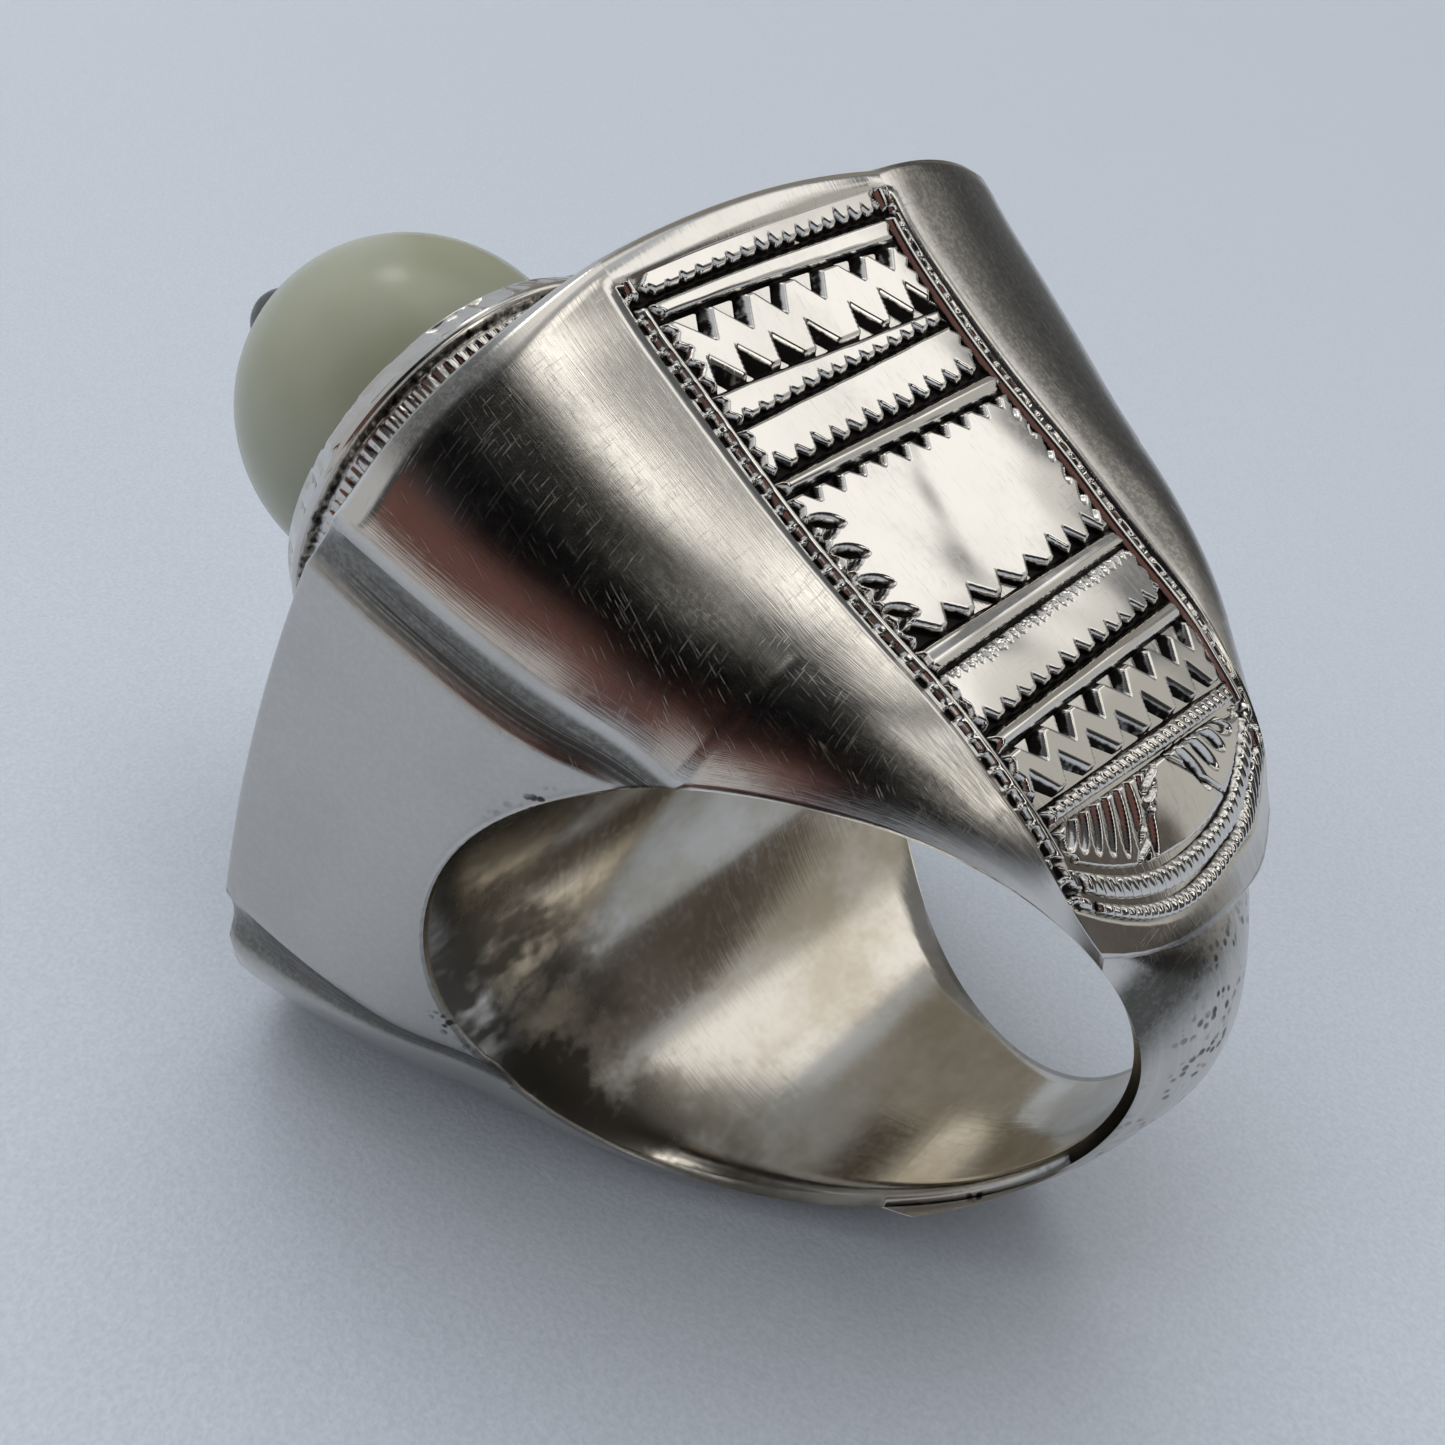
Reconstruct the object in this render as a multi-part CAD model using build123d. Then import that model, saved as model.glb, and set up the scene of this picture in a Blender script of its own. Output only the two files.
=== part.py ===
from build123d import *
from collections import namedtuple
from math import atan2, cos, degrees, hypot, radians, sin, sqrt
import os

# A heavy silver ring with a jade bead on its head, lying on one shoulder. Sizes are in millimetres.
# It is drawn upright: the finger passes along Y, the head points to -X and a shoulder to +Z.
# The origin is the centre of the finger hole. The last step tilts it to lie on the lower shoulder.

# Finger hole
finger_radius = 9.2

# A length that passes any piece, for cuts that go right through
right_through = 80.0

# Head: a box that widens from the hole to a plate
head_wall = 6.75            # from the hole to the corners of the plate
head_half_width = 15.1      # along the finger, at the plate
corner_depth = 9.35         # from the middle to a corner ridge, across the finger
shoulder_rise = 6.25        # how far the panel at the plate stands past the hole
panel_half_width = 7.0      # flat engraved panel in the middle of a shoulder
plate_crown = 0.65          # how far the plate swells between two corners

# Narrow end of each shoulder
lip_drop = 7.15             # from the hole's centre to the end of the raised shoulder
lip_rounding = 14.0         # radius of the curved end, seen square to the panel

# Shank
shank_wall = 1.05
shank_half_width = 2.75
shank_edge = 0.3            # height of the straight edge beside the hole
shank_root_half_width = 6.2

# Cup and collar that hold the bead
collar_foot_radius = 9.5
collar_neck_radius = 8.2
collar_root = 1.7           # how deep the collar is sunk into the plate
collar_foot_wall = 0.7      # upright part of the foot, above the plate's swell at the corners
collar_foot_rise = 1.4      # from the top of the plate's swell to the end of the sloping foot
flange_radius = 8.75
flange_top_radius = 8.15
flange_edge = 0.35          # straight edge under the sloping flange
flange_slope = 0.95
cup_depth = 4.0             # how deep the bead sits in the cup

# Bead and its pin
bead_radius = 6.8
bead_clearance = 0.06
pin_radius = 0.75
pin_clearance = 0.08
pin_length_in_head = 2.2
pin_lean = 7.0              # degrees that the pin leans towards the lower shoulder
washer_radius = 1.6
washer_thickness = 0.3
cap_radius = 1.4
cap_rise = 1.0              # straight part of the cap under its dome

# Heights above the centre of the hole, towards the head
plate_height = finger_radius + head_wall
crown_radius = (corner_depth**2 + plate_crown**2) / (2 * plate_crown)
corner_reach = hypot(head_half_width, corner_depth)
crown_center = plate_height - sqrt(crown_radius**2 - corner_reach**2)
crown_top = crown_center + crown_radius
bead_center = crown_top + collar_foot_rise + bead_radius + bead_clearance
cup_top = bead_center - bead_radius + cup_depth
flange_bottom = cup_top - flange_slope - flange_edge
bead_flat = sqrt(bead_radius**2 - washer_radius**2)

# Sections of the head and shoulders, from the plate down to the narrow end.
# around: share of the finger radius; above: share of the head wall; together they give the height.
# face: half width of the flat front; crease: where the front meets the bevel beside the ridge.
# ridge_width, ridge_depth: the ridge between bevel and barrel; lean, full: share of the chord that
# the barrel swells by, on the leaner and the fuller side; panel: half width of the flat panel;
# rise: height of the panel above the hole.
Section = namedtuple("Section", "around above face crease ridge_width ridge_depth lean full panel rise")
SECTIONS = [
    Section(1.00, 1.40, 1.012, 0.81, 1.010, 1.010, 0.12, 0.26, 1.00, 1.180),
    Section(1.00, 1.00, 1.000, 0.80, 1.000, 1.000, 0.12, 0.26, 1.00, 1.000),
    Section(1.00, 0.62, 0.990, 0.79, 0.974, 0.977, 0.12, 0.25, 1.00, 0.850),
    Section(1.00, 0.25, 0.968, 0.77, 0.936, 0.950, 0.12, 0.24, 1.00, 0.735),
    Section(1.00, -0.10, 0.935, 0.75, 0.890, 0.915, 0.12, 0.24, 1.00, 0.640),
    Section(0.70, 0.00, 0.860, 0.72, 0.832, 0.870, 0.12, 0.23, 0.99, 0.580),
    Section(0.50, 0.00, 0.790, 0.71, 0.770, 0.845, 0.12, 0.22, 0.99, 0.525),
    Section(0.25, 0.00, 0.705, 0.70, 0.700, 0.835, 0.12, 0.20, 0.98, 0.450),
    Section(0.00, 0.00, 0.610, 0.70, 0.608, 0.830, 0.11, 0.16, 0.97, 0.350),
    Section(-0.30, 0.00, 0.480, 0.70, 0.478, 0.830, 0.06, 0.09, 0.95, 0.195),
    Section(-0.62, 0.00, 0.310, 0.58, 0.305, 0.680, 0.04, 0.05, 0.87, -0.056),
    Section(-0.88, 0.00, 0.230, 0.42, 0.225, 0.500, 0.04, 0.04, 0.78, -0.310),
]

# Sections of the shank, by the angle from the head: spread is a share of the way from the narrow
# bottom of the shank to its wide root under the shoulder.
ShankSection = namedtuple("ShankSection", "angle spread")
SHANK_SECTIONS = [
    ShankSection(112, 1.10),
    ShankSection(128, 0.82),
    ShankSection(146, 0.40),
    ShankSection(164, 0.10),
    ShankSection(180, 0.00),
    ShankSection(196, 0.10),
    ShankSection(214, 0.40),
    ShankSection(232, 0.82),
    ShankSection(248, 1.10),
]


def section_height(row):
    return row.around * finger_radius + row.above * head_wall


def panel_height(row):
    return finger_radius + row.rise * shoulder_rise


def barrel(start, end, bulge):
    """The curved side of a shoulder, swelling to the left of the way from start to end."""
    middle = ((start[0] + end[0]) / 2, (start[1] + end[1]) / 2)
    along = (end[0] - start[0], end[1] - start[1])
    swell = (middle[0] - along[1] * bulge, middle[1] + along[0] * bulge)
    return ThreePointArc(start, swell, end)


def body_section(row):
    """One slice of the head and shoulders, square to the line from hole to bead."""
    face = row.face * head_half_width
    crease = row.crease * corner_depth
    ridge_x = row.ridge_width * head_half_width
    ridge_y = row.ridge_depth * corner_depth
    panel_x = row.panel * panel_half_width
    panel_y = panel_height(row)
    edges = [
        Line((-face, -crease), (-face, crease)),
        Line((-face, crease), (-ridge_x, ridge_y)),
        barrel((-ridge_x, ridge_y), (-panel_x, panel_y), row.lean),
        Line((-panel_x, panel_y), (panel_x, panel_y)),
        barrel((panel_x, panel_y), (ridge_x, ridge_y), row.full),
        Line((ridge_x, ridge_y), (face, crease)),
        Line((face, crease), (face, -crease)),
        Line((face, -crease), (ridge_x, -ridge_y)),
        barrel((ridge_x, -ridge_y), (panel_x, -panel_y), row.lean),
        Line((panel_x, -panel_y), (-panel_x, -panel_y)),
        barrel((-panel_x, -panel_y), (-ridge_x, -ridge_y), row.full),
        Line((-ridge_x, -ridge_y), (-face, -crease)),
    ]
    outline = Wire(edges)
    slice_plane = Plane(origin=(-section_height(row), 0, 0), x_dir=(0, 1, 0), z_dir=(1, 0, 0))
    return slice_plane * make_face(outline)


def head_and_shoulders():
    block = loft([body_section(row) for row in SECTIONS], ruled=True)
    crown = Pos(-crown_center, 0, 0) * Sphere(crown_radius)
    return block & crown


def lip_cut():
    """What lies past the curved narrow ends of both shoulders."""
    past = Box(right_through, right_through, right_through, align=(Align.MIN, Align.CENTER, Align.CENTER))
    kept = Pos(lip_drop - lip_rounding, 0, 0) * Cylinder(lip_rounding, right_through)
    return past - kept


def shank_section(row):
    """A half round slice of the shank, flat towards the finger."""
    half = shank_half_width + row.spread * (shank_root_half_width - shank_half_width)
    foot = finger_radius - shank_wall
    shoulder = finger_radius + shank_edge
    top = finger_radius + shank_wall
    outline = Wire([
        Line((-half, foot), (-half, shoulder)),
        ThreePointArc((-half, shoulder), (0, top), (half, shoulder)),
        Line((half, shoulder), (half, foot)),
        Line((half, foot), (-half, foot)),
    ])
    turn = radians(row.angle)
    slice_plane = Plane(origin=(0, 0, 0), x_dir=(0, 1, 0), z_dir=(sin(turn), 0, cos(turn)))
    return slice_plane * make_face(outline)


def shank():
    return loft([shank_section(row) for row in SHANK_SECTIONS], ruled=True)


def collar():
    """A foot, a neck, a flange and a cup for the bead, turned about the line from hole to bead."""
    buried = plate_height - collar_root
    foot_start = plate_height + plate_crown + collar_foot_wall
    cup_radius = bead_radius + bead_clearance
    cup_mouth = sqrt(cup_radius**2 - (bead_center - cup_top) ** 2)
    mouth_angle = degrees(atan2(cup_top - bead_center, cup_mouth))
    profile = Wire([
        Line((0, buried), (collar_foot_radius, buried)),
        Line((collar_foot_radius, buried), (collar_foot_radius, foot_start)),
        Line((collar_foot_radius, foot_start), (collar_neck_radius, crown_top + collar_foot_rise)),
        Line((collar_neck_radius, crown_top + collar_foot_rise), (collar_neck_radius, flange_bottom)),
        Line((collar_neck_radius, flange_bottom), (flange_radius, flange_bottom)),
        Line((flange_radius, flange_bottom), (flange_radius, flange_bottom + flange_edge)),
        Line((flange_radius, flange_bottom + flange_edge), (flange_top_radius, cup_top)),
        Line((flange_top_radius, cup_top), (cup_mouth, cup_top)),
        CenterArc((0, bead_center), cup_radius, mouth_angle, -90 - mouth_angle),
        Line((0, bead_center - cup_radius), (0, buried)),
    ])
    turned = revolve(Plane.XZ * make_face(profile), Axis.Z, 360)
    return Rot(0, -90, 0) * turned


def along_pin(piece):
    """Moves a piece drawn about the origin and Z to the middle of the bead and the line of its pin."""
    return Pos(-bead_center, 0, 0) * Rot(0, -90 - pin_lean, 0) * piece


def pin_socket():
    length = bead_center - crown_top + pin_length_in_head + pin_clearance
    drill = Cylinder(pin_radius + pin_clearance, length, align=(Align.CENTER, Align.CENTER, Align.MAX))
    return along_pin(drill)


def ring_body():
    hole = Rot(90, 0, 0) * Cylinder(finger_radius, right_through)
    shoulders = head_and_shoulders() - lip_cut()
    band = (shoulders + shank()) - hole
    return band + (collar() - pin_socket()) - pin_socket()


def jade_bead():
    """A ball with a small flat for the washer, drilled for the pin."""
    past_flat = Cylinder(bead_radius, bead_radius, align=(Align.CENTER, Align.CENTER, Align.MIN))
    drilled = Cylinder(pin_radius + pin_clearance, right_through)
    return along_pin(Sphere(bead_radius) - Pos(0, 0, bead_flat) * past_flat - drilled)


def bead_pin():
    """The pin, its washer and its domed cap, turned about the line of the pin."""
    seat = bead_flat + bead_clearance
    start = crown_top - pin_length_in_head - bead_center
    profile = Wire([
        Line((0, start), (pin_radius, start)),
        Line((pin_radius, start), (pin_radius, seat)),
        Line((pin_radius, seat), (washer_radius, seat)),
        Line((washer_radius, seat), (washer_radius, seat + washer_thickness)),
        Line((washer_radius, seat + washer_thickness), (cap_radius, seat + washer_thickness)),
        Line((cap_radius, seat + washer_thickness), (cap_radius, seat + cap_rise)),
        CenterArc((0, seat + cap_rise), cap_radius, 0, 90),
        Line((0, seat + cap_rise + cap_radius), (0, start)),
    ])
    turned = revolve(Plane.XZ * make_face(profile), Axis.Z, 360)
    return along_pin(turned)


def rest_tilt(body):
    """The angle that lays the lower shoulder's panel on a flat surface, found from its corners."""
    corners = [vertex.center() for vertex in body.vertices()]
    lowest = min(corners, key=lambda corner: corner.Z)
    slopes = []
    for corner in corners:
        if corner.X > lowest.X + head_wall:
            slopes.append(atan2(corner.Z - lowest.Z, corner.X - lowest.X))
    return degrees(min(slopes))


pieces = {
    "ring_body": ring_body(),
    "jade_bead": jade_bead(),
    "bead_pin": bead_pin(),
}
lay_down = Rot(0, rest_tilt(pieces["ring_body"]), 0)
os.makedirs("parts", exist_ok=True)
for name, piece in pieces.items():
    export_step(lay_down * piece, f"parts/{name}.step")
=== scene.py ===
import math

import bpy
import numpy as np
from mathutils import Matrix, Vector


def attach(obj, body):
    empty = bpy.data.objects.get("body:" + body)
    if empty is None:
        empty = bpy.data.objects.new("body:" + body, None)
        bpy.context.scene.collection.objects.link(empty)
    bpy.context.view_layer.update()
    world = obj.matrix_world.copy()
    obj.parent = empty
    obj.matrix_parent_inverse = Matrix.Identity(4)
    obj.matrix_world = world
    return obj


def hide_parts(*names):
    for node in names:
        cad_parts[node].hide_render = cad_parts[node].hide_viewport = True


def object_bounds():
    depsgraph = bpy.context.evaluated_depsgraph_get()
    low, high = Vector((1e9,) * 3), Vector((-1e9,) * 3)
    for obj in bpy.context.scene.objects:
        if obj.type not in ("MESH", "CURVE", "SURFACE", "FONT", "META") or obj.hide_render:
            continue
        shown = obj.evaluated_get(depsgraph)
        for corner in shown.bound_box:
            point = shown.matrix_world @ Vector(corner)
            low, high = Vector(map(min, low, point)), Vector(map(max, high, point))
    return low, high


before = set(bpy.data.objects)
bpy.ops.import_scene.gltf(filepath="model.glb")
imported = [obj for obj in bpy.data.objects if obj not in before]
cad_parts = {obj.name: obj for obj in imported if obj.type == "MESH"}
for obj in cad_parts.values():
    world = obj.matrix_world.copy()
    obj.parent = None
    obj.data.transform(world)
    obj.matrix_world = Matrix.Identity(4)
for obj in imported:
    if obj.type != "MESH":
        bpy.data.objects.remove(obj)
cad_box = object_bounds()

# Shapes are worked out in finger radii: across (A), out to a shoulder (S) and up to the head (H).
# A runs along the finger, away from the camera, and the origin is the middle of the finger hole.
FINGER_RADIUS = 0.0092
REST_TILT = math.radians(15.19)
CUT_SEED = 11
OTHER_SIDE = np.array([-1.0, 1, 1])


def to_world(points):
    """From finger radii (A, S, H) to metres in the shared frame, with the ring lying on its shoulder."""
    across, out, up = np.moveaxis(np.asarray(points, float), -1, 0) * FINGER_RADIUS
    x = -up * math.cos(REST_TILT) + out * math.sin(REST_TILT)
    z = up * math.sin(REST_TILT) + out * math.cos(REST_TILT)
    return np.stack([x, across, z], -1)


def spline(*points):
    """A smooth curve through a short table of (place, value) rows."""
    xs, ys = np.array(sorted(points), float).T
    step = np.diff(xs)
    n = len(xs)
    system = np.zeros((n, n))
    right = np.zeros(n)
    system[0, 0] = system[-1, -1] = 1.0
    for i in range(1, n - 1):
        system[i, i - 1:i + 2] = step[i - 1], 2 * (step[i - 1] + step[i]), step[i]
        right[i] = 6 * ((ys[i + 1] - ys[i]) / step[i] - (ys[i] - ys[i - 1]) / step[i - 1])
    bend = np.linalg.solve(system, right)

    def curve(x):
        x = np.asarray(x, float)
        i = np.clip(np.searchsorted(xs, x) - 1, 0, n - 2)
        a = (xs[i + 1] - x) / step[i]
        b = 1 - a
        arch = ((a**3 - a) * bend[i] + (b**3 - b) * bend[i + 1]) * step[i]**2 / 6
        return a * ys[i] + b * ys[i + 1] + arch
    return curve


def between(*points):
    """Straight runs through a few (place, value) points."""
    places, values = np.array(points, float).T
    return lambda a: np.interp(a, places, values)


def mean_of(first, second, scale=1.0):
    return lambda x: (first(x) + second(x)) / 2 * scale


def smoothstep(low, high, x):
    t = np.clip((np.asarray(x, float) - low) / (high - low), 0, 1)
    return t * t * (3 - 2 * t)


def band(x, low, full, still_full, high):
    """Rises from low to full and falls again from still_full to high."""
    return smoothstep(low, full, x) * smoothstep(high, still_full, x)


# Main form of the ring, by height H
face_half_width = spline((1.76, 1.645), (1.45, 1.625), (1.18, 1.589), (0.93, 1.525), (0.70, 1.400), (0.50, 1.282),
                         (0.25, 1.135), (0.0, 0.973), (-0.3, 0.775), (-0.5, 0.643), (-0.7, 0.505), (-0.85, 0.40),
                         (-0.95, 0.330), (-1.0, 0.299))
HEAD = 1.76
RIDGE_END = 0.525
ridge_across = spline((HEAD, 1.648), (1.4, 1.590), (1.1, 1.515), (0.85, 1.420), (0.68, 1.345), (RIDGE_END, 1.297))
ridge_out = spline((HEAD, 1.019), (1.4, 0.989), (1.1, 0.953), (0.85, 0.915), (0.68, 0.886), (RIDGE_END, 0.8511))
crease_out = spline((HEAD, 0.806), (1.1, 0.770), (0.66, 0.749), (RIDGE_END, 0.742))
CREASE_END = 0.66

# Edges of the upper shoulder's engraved panel, near the camera and far from it
near_across = spline((HEAD, 0.75), (0.8, 0.75), (0.2, 0.75), (-0.1, 0.73), (-0.3, 0.69), (-0.47, 0.66),
                     (-0.63, 0.60), (-0.8, 0.5))
near_out = spline((HEAD, 1.66), (1.6, 1.592), (1.4, 1.53), (1.2, 1.475), (0.8, 1.375), (0.4, 1.305), (0.1, 1.25),
                  (-0.1, 1.18), (-0.3, 1.078), (-0.47, 0.975), (-0.63, 0.87), (-0.8, 0.76))
far_across = spline((HEAD, 0.62), (0.8, 0.62), (0.2, 0.62), (-0.236, 0.63), (-0.465, 0.65), (-0.63, 0.65),
                    (-0.8, 0.6))
far_out = spline((HEAD, 1.81), (1.6, 1.722), (1.3, 1.612), (1.12, 1.558), (0.96, 1.515), (0.79, 1.475),
                 (0.62, 1.437), (0.47, 1.397), (0.14, 1.32), (-0.117, 1.254), (-0.236, 1.2), (-0.346, 1.146),
                 (-0.465, 1.065), (-0.56, 0.98), (-0.63, 0.9), (-0.8, 0.76))
panel_crown = spline((HEAD, 0.07), (1.5, 0.03), (1.2, 0.01), (0.3, 0.01), (0, 0.02), (-0.3, 0.06), (-0.5, 0.12),
                     (-0.8, 0.2))

# How the round side of a shoulder leaves the ridge and meets the panel: degrees off the straight line
# between them, and the share of it that the curve holds each direction for
near_leave = spline((HEAD, 33), (0.9, 28), (0.45, 24), (0, 15), (-0.3, 8), (-0.8, 3))
near_meet = spline((HEAD, 18), (0.9, 19), (0.45, 18), (0, 13), (-0.3, 8), (-0.8, 3))
far_leave = spline((HEAD, 58), (0.95, 64), (0.45, 60), (0.07, 58), (-0.27, 46), (-0.8, 20))
far_meet = spline((HEAD, 47), (0.95, 43), (0.45, 54), (0.07, 56), (-0.27, 48), (-0.8, 20))
NEAR_HOLD = 0.40
FAR_HOLD = 0.535
LEVEL_HOLD = 0.45

# The lower shoulder lies on the floor, so it is level from its near edge to its far one
LEVEL_SCALE = 0.970
level_across = spline((HEAD, 0.685), (0.8, 0.685), (0.2, 0.68), (-0.1, 0.66), (-0.3, 0.62), (-0.47, 0.57),
                      (-0.63, 0.50), (-0.8, 0.42))
level_out = mean_of(near_out, far_out, LEVEL_SCALE)
level_leave = mean_of(near_leave, far_leave)
level_meet = mean_of(near_meet, far_meet)

# The plate on top: a shallow dome, and the rounding of its edge and of the other edges
PLATE_TOP = 1.992
DOME_RADIUS = 7.35
EDGE_LIFT = 0.034
PLATE_ROUNDING = 0.030
BARREL_ROUNDING = 0.13
RIM_ROUNDING = 0.026
FLUTE_DEPTH = 0.034

# The end of a shoulder and of its engraved field, as heights across the panel
lip_height = spline((-0.72, -0.56), (-0.605, -0.626), (-0.431, -0.707), (-0.156, -0.775), (0.178, -0.806),
                    (0.471, -0.78), (0.63, -0.70), (0.75, -0.62))
field_end = spline((-0.70, -0.42), (-0.643, -0.471), (-0.458, -0.602), (-0.215, -0.704), (0.017, -0.727),
                   (0.31, -0.705), (0.557, -0.635), (0.637, -0.548), (0.70, -0.47))
FIELD_TOP = 1.695
FIELD_STRAIGHT = -0.15
POCKET_DEPTH = 0.045
POCKET_END_DEPTH = 0.022
SLAB_MARGIN = 0.012

# Shank: radii at its edge and middle, the rim's thickness, and the step down from a shoulder's lip
SHANK_EDGE = 1.033
SHANK_CROWN = 1.112
SHANK_SWELL = 0.06
SHANK_RIM = 0.034
UPPER_RIM = 0.006
LOWER_SINK = 0.45
LOWER_RIDGE_DROP = 0.085
LIP_FOOT_DROP = 0.025
LIP_FLUSH_RADIUS = 1.03
LIP_FULL_RISE = 0.13


def dome_height(across, out):
    lift = EDGE_LIFT * smoothstep(1.15, 1.75, np.abs(out))
    return PLATE_TOP - DOME_RADIUS + np.sqrt(DOME_RADIUS**2 - across**2 - out**2) + lift


# What the surface carries for its material: blackened cuts (on the collar also painted shade under the flange and
# round the cup), the inside of the hole, dark streaks, pits, grey patina with painted dark reflections on the round
# sides and the shank's foot, and a count of places side by side that rubbed lines run between
FINISHES = ("cut", "inside", "streak", "pits", "patina", "side")


class Skin:
    """Collects patches of quads and joins them where their points coincide."""

    def __init__(self):
        self.points = []
        self.faces = []
        self.values = {name: [] for name in FINISHES}
        self.count = 0

    def grid(self, points, flip=False, **finish):
        points = np.asarray(points, float)
        rows, columns = points.shape[:2]
        index = np.arange(rows * columns).reshape(rows, columns) + self.count
        quads = np.stack([index[:-1, :-1], index[:-1, 1:], index[1:, 1:], index[1:, :-1]], -1).reshape(-1, 4)
        self.faces.extend((quads[:, ::-1] if flip else quads).tolist())
        self.points.append(points.reshape(-1, 3))
        for name, values in self.values.items():
            values.append(np.broadcast_to(finish.get(name, 0.0), (rows, columns)).ravel())
        self.count += rows * columns

    def build(self, name):
        points = np.vstack(self.points)
        keys = np.round(points * 1e5).astype(np.int64)
        _, first, inverse = np.unique(keys, axis=0, return_index=True, return_inverse=True)
        inverse = inverse.ravel()
        faces = []
        for face in self.faces:
            ring = [int(inverse[i]) for i in face]
            ring = [v for k, v in enumerate(ring) if v != ring[k - 1]]
            if len(set(ring)) == len(ring) >= 3:
                faces.append(ring)
        mesh = bpy.data.meshes.new(name)
        mesh.from_pydata(to_world(points[first]).tolist(), [], faces)
        mesh.validate()
        for finish, values in self.values.items():
            values = np.concatenate(values)[first].astype(np.float32)
            mesh.attributes.new(finish, "FLOAT", "POINT").data.foreach_set("value", values)
        mesh.update()
        for polygon in mesh.polygons:
            polygon.use_smooth = True
        obj = bpy.data.objects.new(name, mesh)
        bpy.context.collection.objects.link(obj)
        return obj


# Body of the ring

FACE_COLUMNS = 14
FLUTE_COLUMNS = 12
BARREL_COLUMNS = 30
PANEL_COLUMNS = 15
RIDGE_ROWS = 60
RIM_ROWS = 60
SHANK_ROWS = 40
BORE_COLUMNS = 12
PLATE_RINGS = 14
PLATE_FIRST_RING = 0.10
TIP_RIM = -0.64
FIELD_RIM = -0.50
WALL_SHARE = 0.006
PANEL_SHARES = np.concatenate([[0], np.linspace(WALL_SHARE, 1 - WALL_SHARE, PANEL_COLUMNS), [1]])


def face_across(out, height):
    """Half width of the ring on its front or back, with the shallow flute below the ridge."""
    crease, ridge = crease_out(height), ridge_out(height)
    u = np.clip((out - crease) / (ridge - crease), 0, 1)
    fall = (ridge_across(height) - face_half_width(height)) * u**1.5
    dip = FLUTE_DEPTH * 4 * u * (1 - u) * smoothstep(RIDGE_END, RIDGE_END + 0.3, height)
    return face_half_width(height) + fall - dip


class Half:
    """The shoulder of one side of the ring, and what its half of the shank does."""

    def __init__(self, edges, leaves, meets, holds, rim, swell, sink):
        self.near_across, self.far_across, self.near_out, self.far_out = edges
        self.leaves, self.meets, self.holds = leaves, meets, holds
        self.rim, self.swell, self.sink = rim, swell, sink

    def panel_out(self, across, height):
        near, far = self.near_across(height), self.far_across(height)
        share = (across + near) / (near + far)
        crown = panel_crown(height) * share * (1 - share) * (near + far)**2
        return self.near_out(height) * (1 - share) + self.far_out(height) * share + crown

    def row_heights(self, across, level):
        """Height of a row: level 0 plate edge, 1 field top, 2 end of the straight part, 3 field end, 4 lip."""
        across = np.asarray(across, float)
        edge = dome_height(across, self.panel_out(across, 1.78))
        keys = [edge, np.full_like(edge, FIELD_TOP), np.full_like(edge, FIELD_STRAIGHT), field_end(across),
                lip_height(across)]
        i = min(int(level), 3)
        return keys[i] + (keys[i + 1] - keys[i]) * (level - i)

    def border_point(self, level, side):
        """Where a row crosses the panel's near or far edge."""
        across_of = self.near_across if side < 0 else self.far_across
        out_of = self.near_out if side < 0 else self.far_out
        across = side * float(across_of(0.8))
        for _ in range(12):
            height = float(self.row_heights(across, level))
            across = side * float(across_of(height))
        return np.array([across, float(out_of(height)), height])

    def barrel_row(self, start, end, side):
        """The round side of the shoulder in one row, from the ridge or rim to the panel's edge."""
        which = 0 if side < 0 else 1
        run = end - start
        lean = math.atan2(run[1], -side * run[0])
        first = lean + math.radians(float(self.leaves[which](start[2])))
        second = lean - math.radians(float(self.meets[which](start[2])))
        reach = self.holds[which] * math.hypot(run[0], run[1])
        hold_start = start + reach * np.array([-side * math.cos(first), math.sin(first), 0])
        hold_end = end - reach * np.array([-side * math.cos(second), math.sin(second), 0])
        hold_start[2] = start[2] + run[2] / 3
        hold_end[2] = end[2] - run[2] / 3
        t = np.linspace(0, 1, BARREL_COLUMNS + 1)[:, None]
        return (1 - t)**3 * start + 3 * t * (1 - t)**2 * hold_start + 3 * t**2 * (1 - t) * hold_end + t**3 * end


UPPER = Half(edges=(near_across, far_across, near_out, far_out), leaves=(near_leave, far_leave),
             meets=(near_meet, far_meet), holds=(NEAR_HOLD, FAR_HOLD), rim=UPPER_RIM, swell=SHANK_SWELL, sink=0.0)
LOWER = Half(edges=(level_across, level_across, level_out, level_out), leaves=(level_leave, level_leave),
             meets=(level_meet, level_meet), holds=(LEVEL_HOLD, LEVEL_HOLD), rim=SHANK_RIM, swell=0.0,
             sink=LOWER_SINK)


def plate_rounding(across, out):
    """The plate's edge is crisp over the faces, worn over the shoulders, most so on their round sides."""
    worn = smoothstep(0.80, 1.14, np.abs(out)) * (0.35 + 0.65 * smoothstep(0.7, 1.3, np.abs(across)))
    return PLATE_ROUNDING + (BARREL_ROUNDING - PLATE_ROUNDING) * worn


def edge_points(corner, start, share):
    """Points of the plate's rounded edge: share 0 on the side below, 1 on the plate."""
    across, out = corner[..., 0], corner[..., 1]
    shrink = 1 - plate_rounding(across, out) / np.hypot(across, out)
    inner = np.stack([across * shrink, out * shrink, dome_height(across * shrink, out * shrink)], -1)
    return (1 - share)**2 * start + 2 * share * (1 - share) * corner + share**2 * inner


def round_edge(rows):
    """A side's rows, with the first one turned into two on the rounded edge."""
    return np.concatenate([[edge_points(rows[0], rows[1], 0.5), edge_points(rows[0], rows[1], 0.25)], rows[1:]])


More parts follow.
